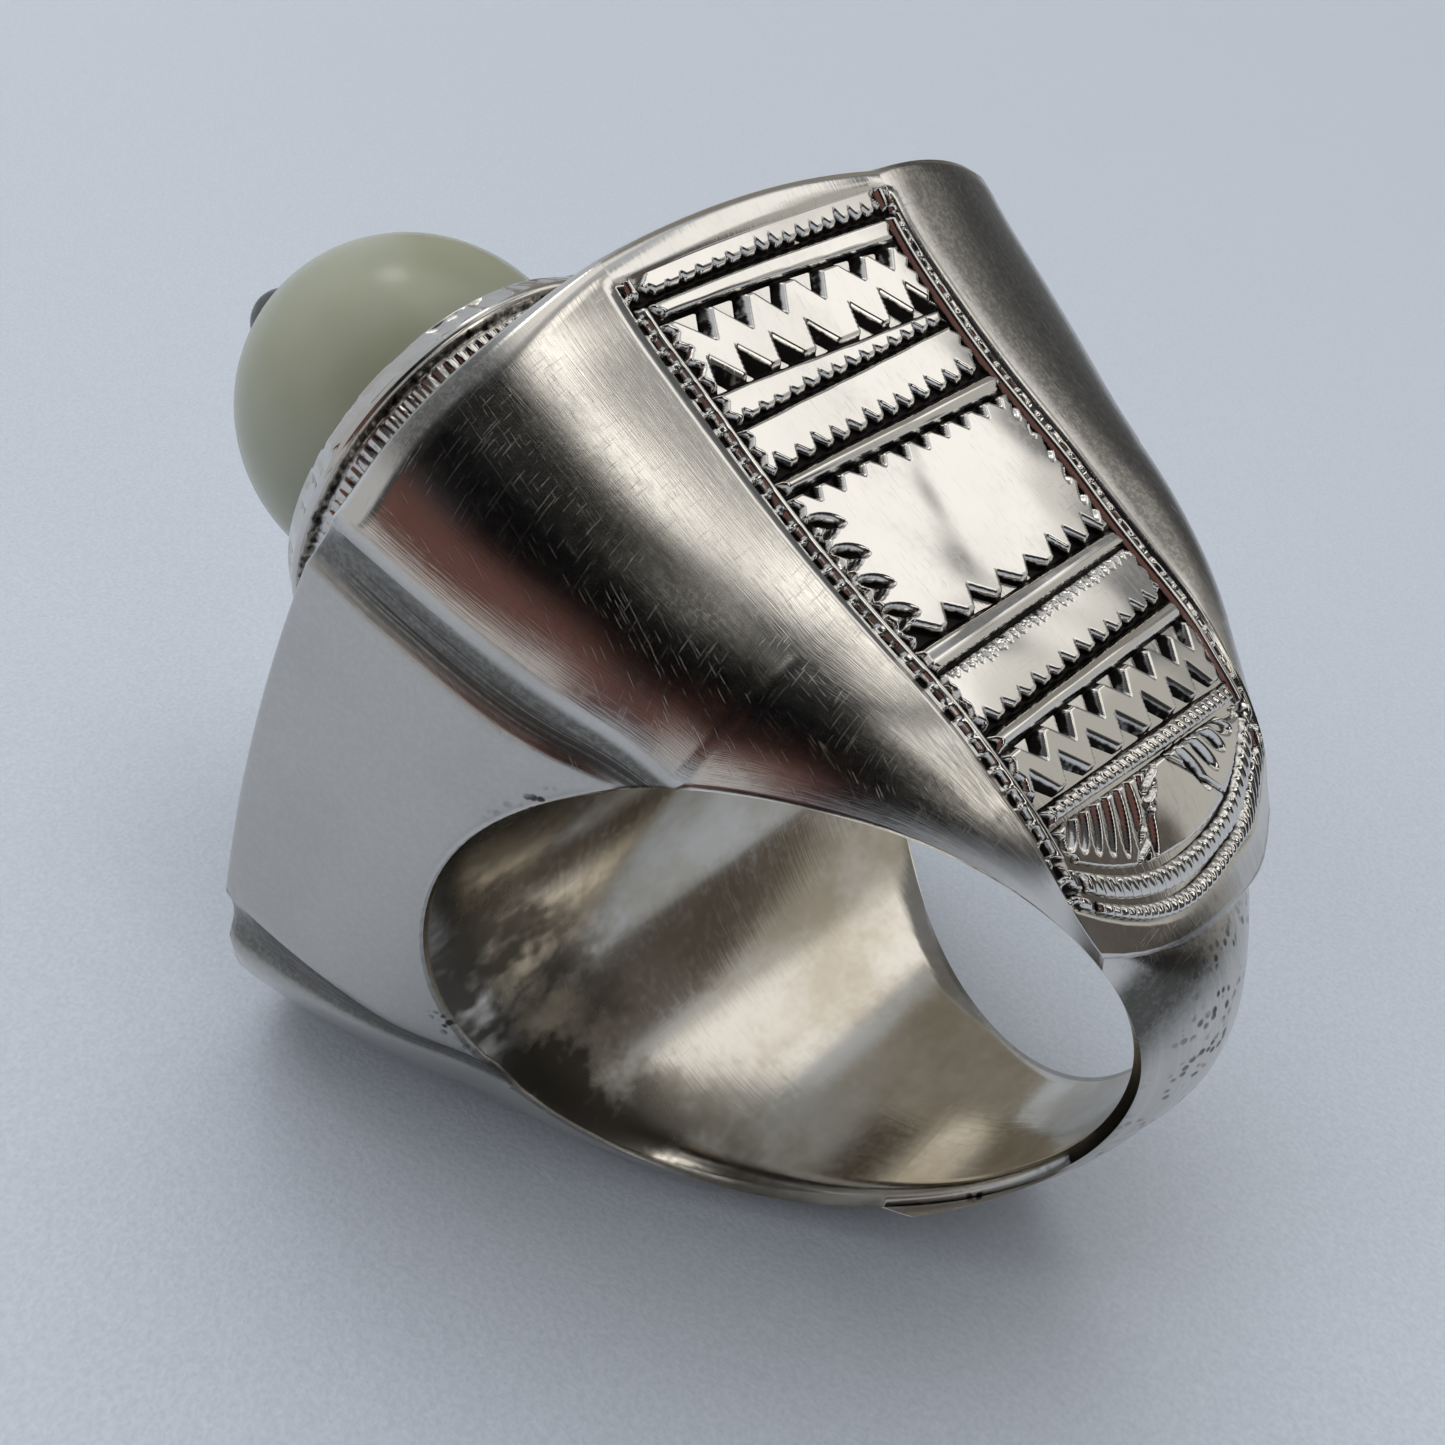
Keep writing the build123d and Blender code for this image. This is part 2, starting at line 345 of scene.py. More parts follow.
def make_room_for_rounding(rows, kept=12):
    """Slides the first rows down a side to where the plate's rounded edge starts."""
    corner = rows[0].copy()
    start = plate_rounding(corner[:, 0], corner[:, 1])
    for j in range(rows.shape[1]):
        drop = corner[j, 2] - rows[:kept + 1, j, 2]
        wanted = np.linspace(start[j], drop[kept], kept)
        slid = [np.interp(wanted, drop, rows[:kept + 1, j, k]) for k in range(3)]
        rows[1:kept + 1, j] = np.stack(slid, -1)
    return rows


def pocket_depth(height):
    """How deep the engraved field's slab is let in; less where the shoulder is thin."""
    return POCKET_END_DEPTH + (POCKET_DEPTH - POCKET_END_DEPTH) * smoothstep(-0.35, 0.1, height)


def rim_point(out, up, side, thickness=0.0):
    """The finger hole's rounded rim, pulled in from the sharp corner."""
    across = face_across(out, up) if up > RIDGE_END else face_half_width(up)
    pull = RIM_ROUNDING / 4
    radius = 1 + pull + thickness * float(smoothstep(0.30, -0.30, up))
    return np.array([side * (float(across) - pull), out * radius, up * radius])


def face_patch(side, drop=0.0):
    """Front or back of one half: rows from the plate's edge to the finger hole's rim."""
    crease_share = float(crease_out(HEAD) / ridge_out(HEAD))
    crease_end = math.degrees(math.acos(CREASE_END))
    ridge_end = math.degrees(math.acos(RIDGE_END))
    shares, ends = (np.concatenate([np.linspace(0, crease, FACE_COLUMNS + 1)[:-1],
                                    np.linspace(crease, ridge, FLUTE_COLUMNS + 1)])
                    for crease, ridge in ((crease_share, 1), (crease_end, ridge_end)))
    columns = []
    for share, end in zip(shares, ends):
        out_0 = share * float(ridge_out(HEAD))
        up_0 = float(dome_height(face_across(out_0, HEAD), out_0))
        out_1, up_1 = math.sin(math.radians(end)), math.cos(math.radians(end))
        length = math.hypot(up_0 - up_1, out_0 - out_1)
        first, last = PLATE_ROUNDING / length, 1 - RIM_ROUNDING / length
        t = np.concatenate([[0], np.linspace(first, last, RIDGE_ROWS + 1), [1]])
        up = up_0 + (up_1 - up_0) * t
        bow = ridge_out(up) - (ridge_out(HEAD) + (ridge_out(RIDGE_END) - ridge_out(HEAD)) * t)
        out = out_0 + (out_1 - out_0) * t + bow * share**6
        column = np.stack([side * face_across(out, up), out, up], -1)
        column[:, 1] *= 1 + drop * share**4 * smoothstep(RIDGE_END, 1.8, up)
        column[-1] = rim_point(out_1, up_1, side)
        columns.append(column)
    return np.stack(columns, 1)


def row_level(height):
    """Which row of the panel goes with a height on the ridge or rim."""
    top = float(dome_height(ridge_across(HEAD), ridge_out(HEAD)))
    places = (-1.0, TIP_RIM, FIELD_RIM, FIELD_STRAIGHT, FIELD_TOP, top)
    return float(np.interp(height, places, (4, 4, 3, 2, 1, 0)))


def shoulder_patch(half, ridge):
    """The whole shoulder: rows from the plate's edge to the lip, from the near ridge or rim to the far one."""
    rim_heights = np.linspace(RIDGE_END, TIP_RIM, RIM_ROWS + 1)[1:]
    starts = [point * OTHER_SIDE for point in ridge]
    starts += [rim_point(math.sqrt(1 - h * h), h, -1, half.rim) for h in rim_heights]
    levels = np.array([row_level(h) for h in [point[2] for point in ridge] + list(rim_heights)])
    # Rows fall exactly on the ends of the engraved field, where its pocket's walls stand
    for key in (1, 2, 3):
        levels[np.argmin(np.abs(levels - key))] = key
    rows = []
    for start, level in zip(starts, levels):
        near_border, far_border = half.border_point(level, -1), half.border_point(level, 1)
        across = near_border[0] + (far_border[0] - near_border[0]) * PANEL_SHARES
        up = half.row_heights(across, level)
        panel = np.stack([across, half.panel_out(across, up), up], -1)
        near = half.barrel_row(start, near_border, -1)
        far = half.barrel_row(start * OTHER_SIDE, far_border, 1)[::-1]
        rows.append(np.vstack([near[:-1], panel, far[1:]]))
    rows = np.stack(rows)
    inside = slice(BARREL_COLUMNS + 1, BARREL_COLUMNS + len(PANEL_SHARES) - 1)
    sunk = (levels > 1) & (levels < 3)
    rows[sunk, inside] -= pocket_depth(rows[sunk, inside, 2])[..., None] * np.array([0, 1.0, 0])
    return rows


def shank_rows(lip_row, half):
    """From the lip down its step and along the shank to the middle of its bottom."""
    n = len(lip_row)
    column = np.arange(n)
    barrel_share = np.clip(column / BARREL_COLUMNS, 0, 1) * np.clip((n - 1 - column) / BARREL_COLUMNS, 0, 1)
    spread = 2 * np.clip((column - BARREL_COLUMNS) / (n - 1 - 2 * BARREL_COLUMNS), 0, 1) - 1
    lip_radius = np.hypot(lip_row[:, 1], lip_row[:, 2])
    foot_drop = LIP_FOOT_DROP * np.clip(lip_radius - LIP_FLUSH_RADIUS, 0, LIP_FULL_RISE) / LIP_FULL_RISE
    lip_turn = np.arctan2(lip_row[:, 1], -lip_row[:, 2]) - foot_drop
    rows = []
    for s in np.concatenate([[0.0], np.linspace(0.02, 1, SHANK_ROWS)]):
        turn = lip_turn * (1 - s)
        width = float(face_half_width(-math.cos(turn[0]))) - RIM_ROUNDING / 4
        rim = half.rim + (SHANK_RIM - half.rim) * float(smoothstep(0, 0.7, s))
        radius = 1 + RIM_ROUNDING / 4 + rim + (SHANK_EDGE - 1 - rim * 0.8) * barrel_share
        swell = SHANK_CROWN - SHANK_EDGE + half.swell * math.sin(math.pi * s**0.8)
        swell *= 1 - half.sink * float(smoothstep(0.5, 0, s))
        radius = radius + swell * (1 - spread**2)
        rows.append(np.stack([width * spread, radius * np.sin(turn), -radius * np.cos(turn)], -1))
    return np.stack(rows)


def face_finish(face):
    """Dark streaks in the flute under a ridge, and pits beside the rim."""
    rows, columns = face.shape[:2]
    flute = np.clip((np.arange(columns) - FACE_COLUMNS) / FLUTE_COLUMNS, 0, 1)
    down = np.linspace(0, 1, rows)[:, None]
    beside = np.exp(-((np.arange(columns) - 11) / 2.5)**2)
    return {"streak": band(flute, 0.0, 0.35, 0.5, 0.85) * smoothstep(0.0, 0.3, down),
            "pits": smoothstep(0.93, 0.97, down) * beside,
            "side": flute * 0.25,
            "patina": 0.38 + 0.55 * band(flute, 0.0, 0.3, 0.8, 1.0)}


def shoulder_finish(points):
    """Rubbed lines, grey patina and painted dark reflections on the round sides; pits, lines, patina and a painted
    dark reflection by the lip's foot on the shank.
    """
    column = np.arange(points.shape[1])
    beside = column - (len(column) - 1 - BARREL_COLUMNS)
    # Painted dark reflection, carried as patina: a dark band down the near round side, and the far round side
    # darkened beside the panel
    near = band(column, 4, 9, 17, 22)
    far = smoothstep(0, 2, beside) * (0.22 + 0.62 * smoothstep(20, 6, beside))
    across, height = points[..., 0], points[..., 2]
    shank = smoothstep(-0.68, -0.76, height)
    upper = smoothstep(-0.5, 0.2, height)
    # Painted dark reflection on the shank by the lip's foot, carried as patina on top of the shank's real patina
    painted_foot_reflection = smoothstep(-1.0, -0.84, height) * smoothstep(0.30, -0.25, across)
    return {"patina": (0.80 * near * upper + far * upper + 0.10) * (1 - shank) + shank * (0.22 + 0.85 * painted_foot_reflection),
            "pits": shank * smoothstep(-0.40, -0.10, across) * smoothstep(-0.80, -0.88, height),
            "streak": 0.12 * shank,
            "side": column * 0.022}


def half_plate(skin, corner, start, spin):
    """The plate, in rings from its rounded edge to its middle."""
    rings = [edge_points(corner, start, share) for share in (0.5, 0.75, 1)]
    for share in np.linspace(PLATE_FIRST_RING, 1, PLATE_RINGS):
        across, out = corner[:, 0] * (1 - share), corner[:, 1] * (1 - share)
        rings.append(np.stack([across, out, dome_height(across, out)], -1))
    skin.grid(np.stack(rings) * spin, flip=True)


def half_bore(skin, rim, spin):
    """The finger hole, from its near rim to its far one, with soot behind the near one."""
    width = np.abs(rim[:, 0]) - RIM_ROUNDING * 3 / 4
    radius = np.hypot(rim[:, 1], rim[:, 2])
    wall = [np.stack([width * share, rim[:, 1] / radius, rim[:, 2] / radius], -1)
            for share in np.linspace(-1, 1, BORE_COLUMNS + 1)]
    wall = np.stack([rim] + wall + [rim * OTHER_SIDE]) * spin
    across, out, up = np.moveaxis(wall, -1, 0)
    soot = smoothstep(-0.45, -1.10, across) * smoothstep(1.05, 0.4, np.abs(up - 0.30))
    skin.grid(wall, flip=True, inside=np.abs(np.abs(across) - np.abs(rim[:, 0])) > RIM_ROUNDING / 3,
              streak=1.25 * soot * smoothstep(0.75, 0.1, out))


def make_body():
    skin = Skin()
    for half, turn, drop in ((UPPER, 1, 0.0), (LOWER, -1, LOWER_RIDGE_DROP)):
        spin = np.array([turn, turn, 1.0])
        near_face, far_face = face_patch(-1, drop), face_patch(1, drop)
        shoulder = make_room_for_rounding(shoulder_patch(half, far_face[:, -1]))
        near_face, far_face = make_room_for_rounding(near_face), make_room_for_rounding(far_face)
        corner, start = (np.vstack([near_face[i, :-1], shoulder[i], far_face[i, -2::-1]]) for i in (0, 1))
        near_face, far_face, shoulder = map(round_edge, (near_face, far_face, shoulder))
        skin.grid(near_face * spin, **face_finish(near_face))
        skin.grid(far_face * spin, flip=True, **face_finish(far_face))
        whole = np.concatenate([shoulder, shank_rows(shoulder[-1], half)])
        skin.grid(whole * spin, **shoulder_finish(whole))
        half_plate(skin, corner, start, spin)
        half_bore(skin, np.vstack([near_face[-1, :-1], whole[len(near_face) - 1:, 0]]), spin)
    return skin.build("silver_body")


# Engraved field: hand-cut rows of teeth, chip cuts and ticked lines, told by place across (A) and height (H)

TINY = 1e-6
TOOTH_SLOPE = 1.6
BASE_LIP = 0.012
FIELD_INSET = 0.085
DASH_PITCH = 0.0565


class Engraving:
    """Depth of the cuts on a grid of places, and how dark they are."""

    def __init__(self, across, height, from_near, from_far, seed):
        self.a, self.h = across, height
        self.left, self.right = from_near, from_far
        self.field = (from_near > FIELD_INSET) & (from_far > FIELD_INSET)
        self.depth, self.dark, self.rise = (np.zeros_like(across) for _ in range(3))
        self.random = np.random.default_rng(seed)

    def cut(self, depth, dark=1.0, full=0.021):
        depth = np.maximum(depth, 0)
        self.depth = np.maximum(self.depth, depth)
        self.dark = np.maximum(self.dark, dark * np.clip(depth / full - 0.25, 0, 1))

    def groove(self, away, width, depth, where=1.0, dark=1.0):
        """A V cut along a line, given the distance from it."""
        self.cut(depth * (1 - np.abs(away) / width) * where, dark)

    def ridge(self, away, width, height, where):
        """A raised line, given the distance from it."""
        self.rise += height * np.clip(1 - np.abs(away) / width, 0, 1) * where

    def jitter(self, count, amount):
        return self.random.uniform(-amount, amount, count)

    def teeth(self, base, tips, tip_height, where, depth, lean, dark):
        """A row of pointed notches from a base line to a list of tips; lean is where a tip stands in its tooth."""
        tips = np.array(tips, float)
        gaps = np.diff(tips)
        valleys = tips[:-1] + gaps * (1 - lean)
        first, last = tips[0] - gaps[0] * lean, tips[-1] + gaps[-1] * (1 - lean)
        places = np.sort(np.concatenate([tips, valleys, [first, last]]))
        sign = np.sign(float(np.mean(tip_height(tips) - base(tips))))
        reach = np.zeros(len(places))
        reach[1::2] = 1 + self.jitter(len(tips), 0.18)
        span = np.abs(tip_height(self.a) - base(self.a))
        above = (self.h - base(self.a)) * sign
        inside = np.interp(self.a, places, reach, left=0, right=0) * span - above
        wall = np.clip(inside * TOOTH_SLOPE, 0, depth)
        floor = depth * np.clip(1 + above / BASE_LIP, 0, 1)
        self.cut(np.where(above > -BASE_LIP, np.minimum(wall, floor), 0) * where, dark)

    def chips(self, base, tip_height, tips, half, depth, lean):
        """Deep three-sided cuts: one steep wall at the tip's side, a long slope to the other."""
        sign = np.sign(float(np.mean(tip_height(np.array(tips)) - base(np.array(tips)))))
        above = (self.h - base(self.a)) * sign
        for tip in tips:
            left = tip - half * 2 * lean * (1 + self.jitter(1, 0.1)[0])
            right = tip + half * 2 * (1 - lean) * (1 + self.jitter(1, 0.1)[0])
            span = abs(float(tip_height(tip) - base(tip))) * (1 + self.jitter(1, 0.06)[0])
            rising = (self.a - left) / (tip - left) * span - above
            falling = (right - self.a) / (right - tip) * span - above
            wall = np.minimum(rising, (above + BASE_LIP) * 2) * 1.3
            facet = falling * 0.62
            shade = np.where(facet < np.minimum(wall, depth * 0.7), self.random.uniform(0.74, 0.96), 1.0)
            deep = np.clip(np.minimum(wall, facet), 0, depth)
            self.cut(deep * self.field, shade * (0.88 + self.random.uniform(0, 0.12)), 0.011)

    def lens(self, start, end, width, depth, dark=0.9):
        """One gouge from point to point, widest and deepest in its middle."""
        start, end = np.array(start, float), np.array(end, float)
        run = end - start
        length = np.hypot(*run)
        along = ((self.a - start[0]) * run[0] + (self.h - start[1]) * run[1]) / length**2
        away = ((self.a - start[0]) * run[1] - (self.h - start[1]) * run[0]) / length
        belly = np.sqrt(np.clip(4 * along * (1 - along), 0, 1))
        half = width / 2 * belly + TINY
        self.cut(depth * belly * np.clip(1 - np.abs(away) / half, 0, 1) * ((along > 0) & (along < 1)), dark)


def side_border(work, edge, turn, seed):
    """A double row beside the panel: dashes, a plain strip and a serrated inner groove."""
    where = (edge < 0.2) & (work.h > -0.62 + 0.3 * work.a**2)
    shake = np.random.default_rng(seed).uniform(-0.5, 0.5, 80)

    def uneven(cell, start):
        return shake[np.clip(cell + start, 0, 79).astype(int)]

    work.groove(edge, 0.006, 0.014, where, 0.8)
    step = work.h / DASH_PITCH + 0.35 * turn
    cell = np.floor(step)
    local = step - cell + 0.22 * uneven(cell, 30)
    width = 0.0165 * (1 + 0.55 * uneven(cell, 33))
    dash = np.clip((0.40 - np.abs(local - 0.5)) * 9, 0, 1) * np.clip((width - np.abs(edge - 0.0265)) / 0.006, 0, 1)
    work.cut(0.026 * dash * where, 1.0)
    work.groove(edge - 0.0265, 0.010, 0.010, where, 0.7)
    work.ridge(edge - 0.058, 0.016, 0.007, where)
    # Inner groove with small teeth into the field
    saw = np.abs((step * 0.9) % 1 - 0.5) * 2
    tooth = 0.022 + 0.016 * uneven(np.floor(step * 0.9 + 0.5), 31) + 0.012 * smoothstep(0.9, 1.4, work.h)
    reach = np.clip((0.094 + tooth * saw - edge) / 0.014, 0, 1) * np.clip((edge - 0.070) / 0.012, 0, 1)
    work.cut(0.028 * reach * where, 1.0)


def spread(start, end, count, random, shake=0.06):
    """Places of the tips of a row, with the unevenness of handwork."""
    places = np.linspace(start, end, count)
    return places + random.uniform(-shake, shake, count) * (end - start) / count


PANEL_ENDS = (-0.6, 0.5)
TOOTHED_LINES = {
    # name: heights of the line and of its tips at the panel's near and far ends, where the teeth start, end and how
    # many they are (or their places), depth, lean, darkness, and the groove's width and depth
    "plate": ((1.622, 1.612), (1.655, 1.668), (-0.70, 0.57, 19), 0.034, 0.35, 1.0, (0.022, 0.036)),
    "second": ((1.172, 1.201), (1.214, 1.250), (-0.60, 0.50, 15), 0.035, 0.36, 1.0, (0.020, 0.034)),
    "third": ((0.990, 0.994), (1.055, 1.072), (-0.60, 0.50, 13), 0.035, 0.36, 1.0, (0.022, 0.038)),
    "over field": ((0.925, 0.905), (0.858, 0.848), (-0.56, 0.46, 10), 0.036, 0.62, 1.0, (0.016, 0.03)),
    "under field": ((0.345, 0.322), (0.424, 0.405), (-0.593, -0.43, -0.275, -0.115, 0.038, 0.195, 0.294, 0.42),
                    0.04, 0.34, 1.0, (0.018, 0.026)),
    "fine": ((0.243, 0.243), (0.200, 0.204), (-0.6, 0.5, 27), 0.022, 0.4, 0.75, None),
    "fourth": ((0.036, 0.022), (0.094, 0.084), (-0.60, 0.50, 13), 0.035, 0.36, 1.0, (0.020, 0.036)),
}
ZIGZAGS = {
    # name: for the upper and the lower row of chip cuts, the base line, the line of the tips, half a cut's width,
    # depth, lean, the base groove's width and depth, and the tips' places
    "first": (
        (between((-0.6, 1.552), (0.5, 1.519)), between((-0.55, 1.425), (0.45, 1.425)), 0.092, 0.055, 0.62,
         (0.018, 0.03), (-0.511, -0.35, -0.17, 0.034, 0.262, 0.42)),
        (between((-0.6, 1.292), (0.5, 1.262)), between((-0.58, 1.405), (0.45, 1.395)), 0.078, 0.055, 0.28,
         (0.016, 0.028), (-0.585, -0.458, -0.294, -0.112, 0.124, 0.293, 0.429))),
    "second": (
        (between((-0.6, -0.035), (0.5, -0.060)), between((-0.6, -0.125), (0.5, -0.165)), 0.080, 0.045, 0.62,
         (0.016, 0.028), (-0.49, -0.33, -0.16, 0.01, 0.17, 0.33, 0.46)),
        (between((-0.6, -0.215), (0.5, -0.292)), between((-0.6, -0.108), (0.5, -0.170)), 0.080, 0.055, 0.26,
         (0.016, 0.03), (-0.585, -0.43, -0.265, -0.10, 0.065, 0.225, 0.38))),
}


def toothed_line(work, name, where):
    line, tips, places, depth, lean, dark, groove = TOOTHED_LINES[name]
    line, tips = between(*zip(PANEL_ENDS, line)), between(*zip(PANEL_ENDS, tips))
    if len(places) == 3:
        places = spread(*places, work.random)
    work.teeth(line, places, tips, where, depth, lean, dark)
    if groove:
        work.groove(work.h - line(work.a), *groove, where)


def zigzag(work, name):
    """A bright crooked band left standing between two rows of chip cuts."""
    for base, tip_height, half, depth, lean, groove, tips in ZIGZAGS[name]:
        work.chips(base, tip_height, tips, half, depth, lean)
        work.groove(work.h - base(work.a), *groove, work.field)


def polished_field(work):
    """Crescents down the plain field's near side and small gouges down its far side."""
    for height in (0.790, 0.676, 0.560, 0.449, 0.372):
        work.lens((-0.655, height + 0.045), (-0.535, height - 0.015), 0.055, 0.04)
        work.lens((-0.655, height - 0.03), (-0.56, height - 0.005), 0.035, 0.03)
    for height in (0.828, 0.747, 0.647, 0.558, 0.47, 0.40):
        work.lens((0.535, height + 0.03), (0.475, height - 0.035), 0.03, 0.024)


def combed_band(work):
    """A plain ridge, a groove and a fine comb hanging from it."""
    a, h, field = work.a, work.h, work.field
    work.ridge(h - 0.285, 0.030, 0.008, field)
    work.groove(h - 0.250, 0.013, 0.036, field)
    comb = np.abs((a / 0.037 + 0.3 * np.sin(a * 23)) % 1 - 0.5) * 2
    length = 0.036 + 0.016 * np.sin(a * 31 + 1) * np.sin(a * 12)
    work.cut(0.018 * np.clip((0.245 - length * comb - h) / -0.01, 0, 1) * (h < 0.245) * field, 0.8)


def rope_line(work):
    """The ticked line over the petal."""
    rope = between((-0.551, -0.249), (-0.071, -0.293), (0.505, -0.337))
    away = work.h - rope(work.a)
    tick = np.abs((work.a / 0.045 + away / 0.09) % 1 - 0.5) * 2
    work.groove(away + 0.030, 0.014, 0.034, work.field)
    work.cut(0.014 * np.clip(1 - tick * 2.4, 0, 1) * (np.abs(away) < 0.022) * work.field, 0.9)
    work.ridge(away, 0.022, 0.006, work.field)


def field_rows(work):
    """Everything on the straight part of the field, from the plate down."""
    a, h, field = work.a, work.h, work.field
    toothed_line(work, "plate", (work.left > 0.03) & (work.right > 0.03))
    zigzag(work, "first")
    toothed_line(work, "second", field)
    toothed_line(work, "third", field)
    work.ridge(h - between((-0.6, 0.952), (0.5, 0.950))(a), 0.022, 0.010, field)
    toothed_line(work, "over field", field)
    polished_field(work)
    toothed_line(work, "under field", field)
    combed_band(work)
    toothed_line(work, "fine", field)
    toothed_line(work, "fourth", field)
    work.ridge(h - between((-0.6, -0.002), (0.5, -0.020))(a), 0.020, 0.012, field)
    zigzag(work, "second")
    rope_line(work)


AROUND = np.linspace(-0.8, 0.8, 400)
petal_rope = between((-0.551, -0.279), (-0.071, -0.323), (0.505, -0.367))
inner_arc = spline((-0.62, -0.365), (-0.457, -0.469), (-0.257, -0.55), (-0.051, -0.582), (0.165, -0.578),
                   (0.329, -0.538), (0.52, -0.43))
middle_arc = spline((-0.66, -0.41), (-0.501, -0.526), (-0.306, -0.616), (-0.107, -0.661), (0.136, -0.66),
                    (0.397, -0.612), (0.574, -0.473), (0.66, -0.37))


def petal_fans(work):
    """A plain petal between a hatched line with a fan of upright cuts and a fan of slanting ones."""
    a, h, rope = work.a, work.h, petal_rope
    near_edge = np.interp(h, (-0.56, -0.337), (-0.325, -0.085))
    far_edge = np.interp(h, (-0.56, -0.50, -0.35), (0.25, 0.17, 0.005))
    tip = (h < rope(a)) & (h > inner_arc(a)) & (work.left > 0.09) & (work.right > 0.09)
    hatch = np.abs(((h - 0.25 * a) / 0.034) % 1 - 0.5) * 2
    work.cut(0.020 * np.clip(1.5 - hatch * 2.2, 0, 1) * (np.abs(a - near_edge) < 0.028) * tip, 0.95)
    work.groove(a - near_edge + 0.028, 0.012, 0.026, tip)
    for i, start in enumerate((-0.150, -0.212, -0.272, -0.334, -0.392, -0.448, -0.502)):
        work.lens((start, rope(start) + 0.005), (start - 0.075, -0.545 + 0.032 * i), 0.046, 0.036)
    for i, start in enumerate((0.075, 0.155, 0.235, 0.315, 0.395)):
        work.lens((start, rope(start) - 0.005), (start + 0.085 + 0.012 * i, -0.505 + 0.028 * i), 0.052, 0.036)
    work.groove(a - far_edge - 0.012, 0.014, 0.03, tip)


def end_bands(work):
    """Two ticked bands round the end of the field."""
    a, h = work.a, work.h
    low = h < petal_rope(a) + 0.02
    ends = (work.left > 0.02) & (work.right > 0.02)
    for line, other, slant, pitch in ((inner_arc, middle_arc, 0.5, 0.043), (middle_arc, field_end, -0.25, 0.036)):
        share = (h - other(a)) / np.maximum(line(a) - other(a), 0.02)
        where = (share > 0) & (share < 1) & low & ends
        arc = np.cumsum(np.hypot(np.gradient(line(AROUND)), np.gradient(AROUND)))
        tick = np.abs(((np.interp(a, AROUND, arc) + slant * 0.05 * share) / pitch) % 1 - 0.5) * 2
        roll = 4 * share * (1 - share)
        work.rise += 0.012 * roll * where
        work.cut((0.016 * np.clip(1.0 - tick * 1.9, 0, 1) * (0.35 + 0.65 * roll)) * where, 0.75)
    work.groove((h - inner_arc(a)) * 0.9, 0.016, 0.036, low & ends)
    work.groove((h - middle_arc(a)) * 0.9, 0.014, 0.034, low & ends)
    work.groove((h - field_end(a)) * 0.9, 0.010, 0.02, ends & (h < -0.3), 0.8)


FIELD_COLUMNS = 236
FIELD_ROWS = 400
STRAIGHT_ROWS = 304
SLAB_ROW_STEP = 8
SLAB_COLUMN_STEP = 20


def field_places(half):
    """The grid of places across and heights that the slab's face is worked on."""
    share = np.linspace(WALL_SHARE * 0.4, 1 - WALL_SHARE * 0.4, FIELD_COLUMNS)
    levels = 1 + np.concatenate([np.linspace(0.001, 1, STRAIGHT_ROWS)[:-1],
                                 np.linspace(1, 2 - 0.002, FIELD_ROWS - STRAIGHT_ROWS + 1)])
    across = np.empty((len(levels), FIELD_COLUMNS))
    height = np.empty_like(across)
    for i, level in enumerate(levels):
        near, far = half.border_point(level, -1), half.border_point(level, 1)
        across[i] = near[0] + (far[0] - near[0]) * share
        height[i] = half.row_heights(across[i], level)
    return across, height


def waviness(across, height, seed):
    """Handwork leaves plain parts slightly wavy, with one soft dent down the polished field."""
    wave = (np.sin(across * 5 + height * 2 + seed) * np.sin(height * 3.4 - across * 2) * 0.0075
            + np.sin(across * 21 + height * 17) * 0.0004)
    dent = (across + 0.10 - 0.30 * (height - 0.62) - 0.5 * (height - 0.62)**2) / 0.10
    return wave - 0.0045 * np.exp(-dent**2) * band(height, 0.35, 0.55, 0.9, 1.2)


def surface_normal(surface):
    normal = np.cross(np.gradient(surface, axis=0), np.gradient(surface, axis=1))
    normal /= np.linalg.norm(normal, axis=-1, keepdims=True)
    return normal * np.sign(normal[..., 1:2])


def coarse_steps(count, step):
    """For each of a row of points, the nearest of those that the coarse side keeps."""
    kept = np.append(np.arange(0, count - step // 2, step), count - 1)
    return kept[np.abs(np.arange(count)[:, None] - kept).argmin(1)]


def make_ornament(name, half, turn, seed):
    """A thin slab with the cuts in its face, let into the shoulder."""
    across, height = field_places(half)
    work = Engraving(across, height, across + half.near_across(height), half.far_across(height) - across, seed)
    field_rows(work)
    petal_fans(work)
    end_bands(work)
    side_border(work, work.left, 0, seed + 1)
    side_border(work, work.right, 1, seed + 2)
    lift = work.rise - work.depth + waviness(across, height, seed)
    surface = np.stack([across, half.panel_out(across, height), height], -1)
    normal = surface_normal(surface)
    top = surface + normal * lift[..., None]
    bottom = surface - normal * (pocket_depth(height) + SLAB_MARGIN)[..., None]
    spin = np.array([turn, turn, 1.0])
    skin = Skin()
    skin.grid(top * spin, cut=work.dark)
    # Its walls and underside, in coarser steps
    rows, columns = coarse_steps(len(top), SLAB_ROW_STEP), coarse_steps(FIELD_COLUMNS, SLAB_COLUMN_STEP)
    skin.grid(bottom[np.unique(rows)][:, np.unique(columns)] * spin, flip=True)
    for high, low, flip in ((top[0], bottom[0, columns], False), (top[-1], bottom[-1, columns], True),
                            (top[:, 0], bottom[rows, 0], True), (top[:, -1], bottom[rows, -1], False)):
        skin.grid(np.stack([high, low]) * spin, flip=flip)
    return skin.build(name)


# Collar, bead and pin turn about the head's axis; their profiles are rows of (radius, height) in millimetres

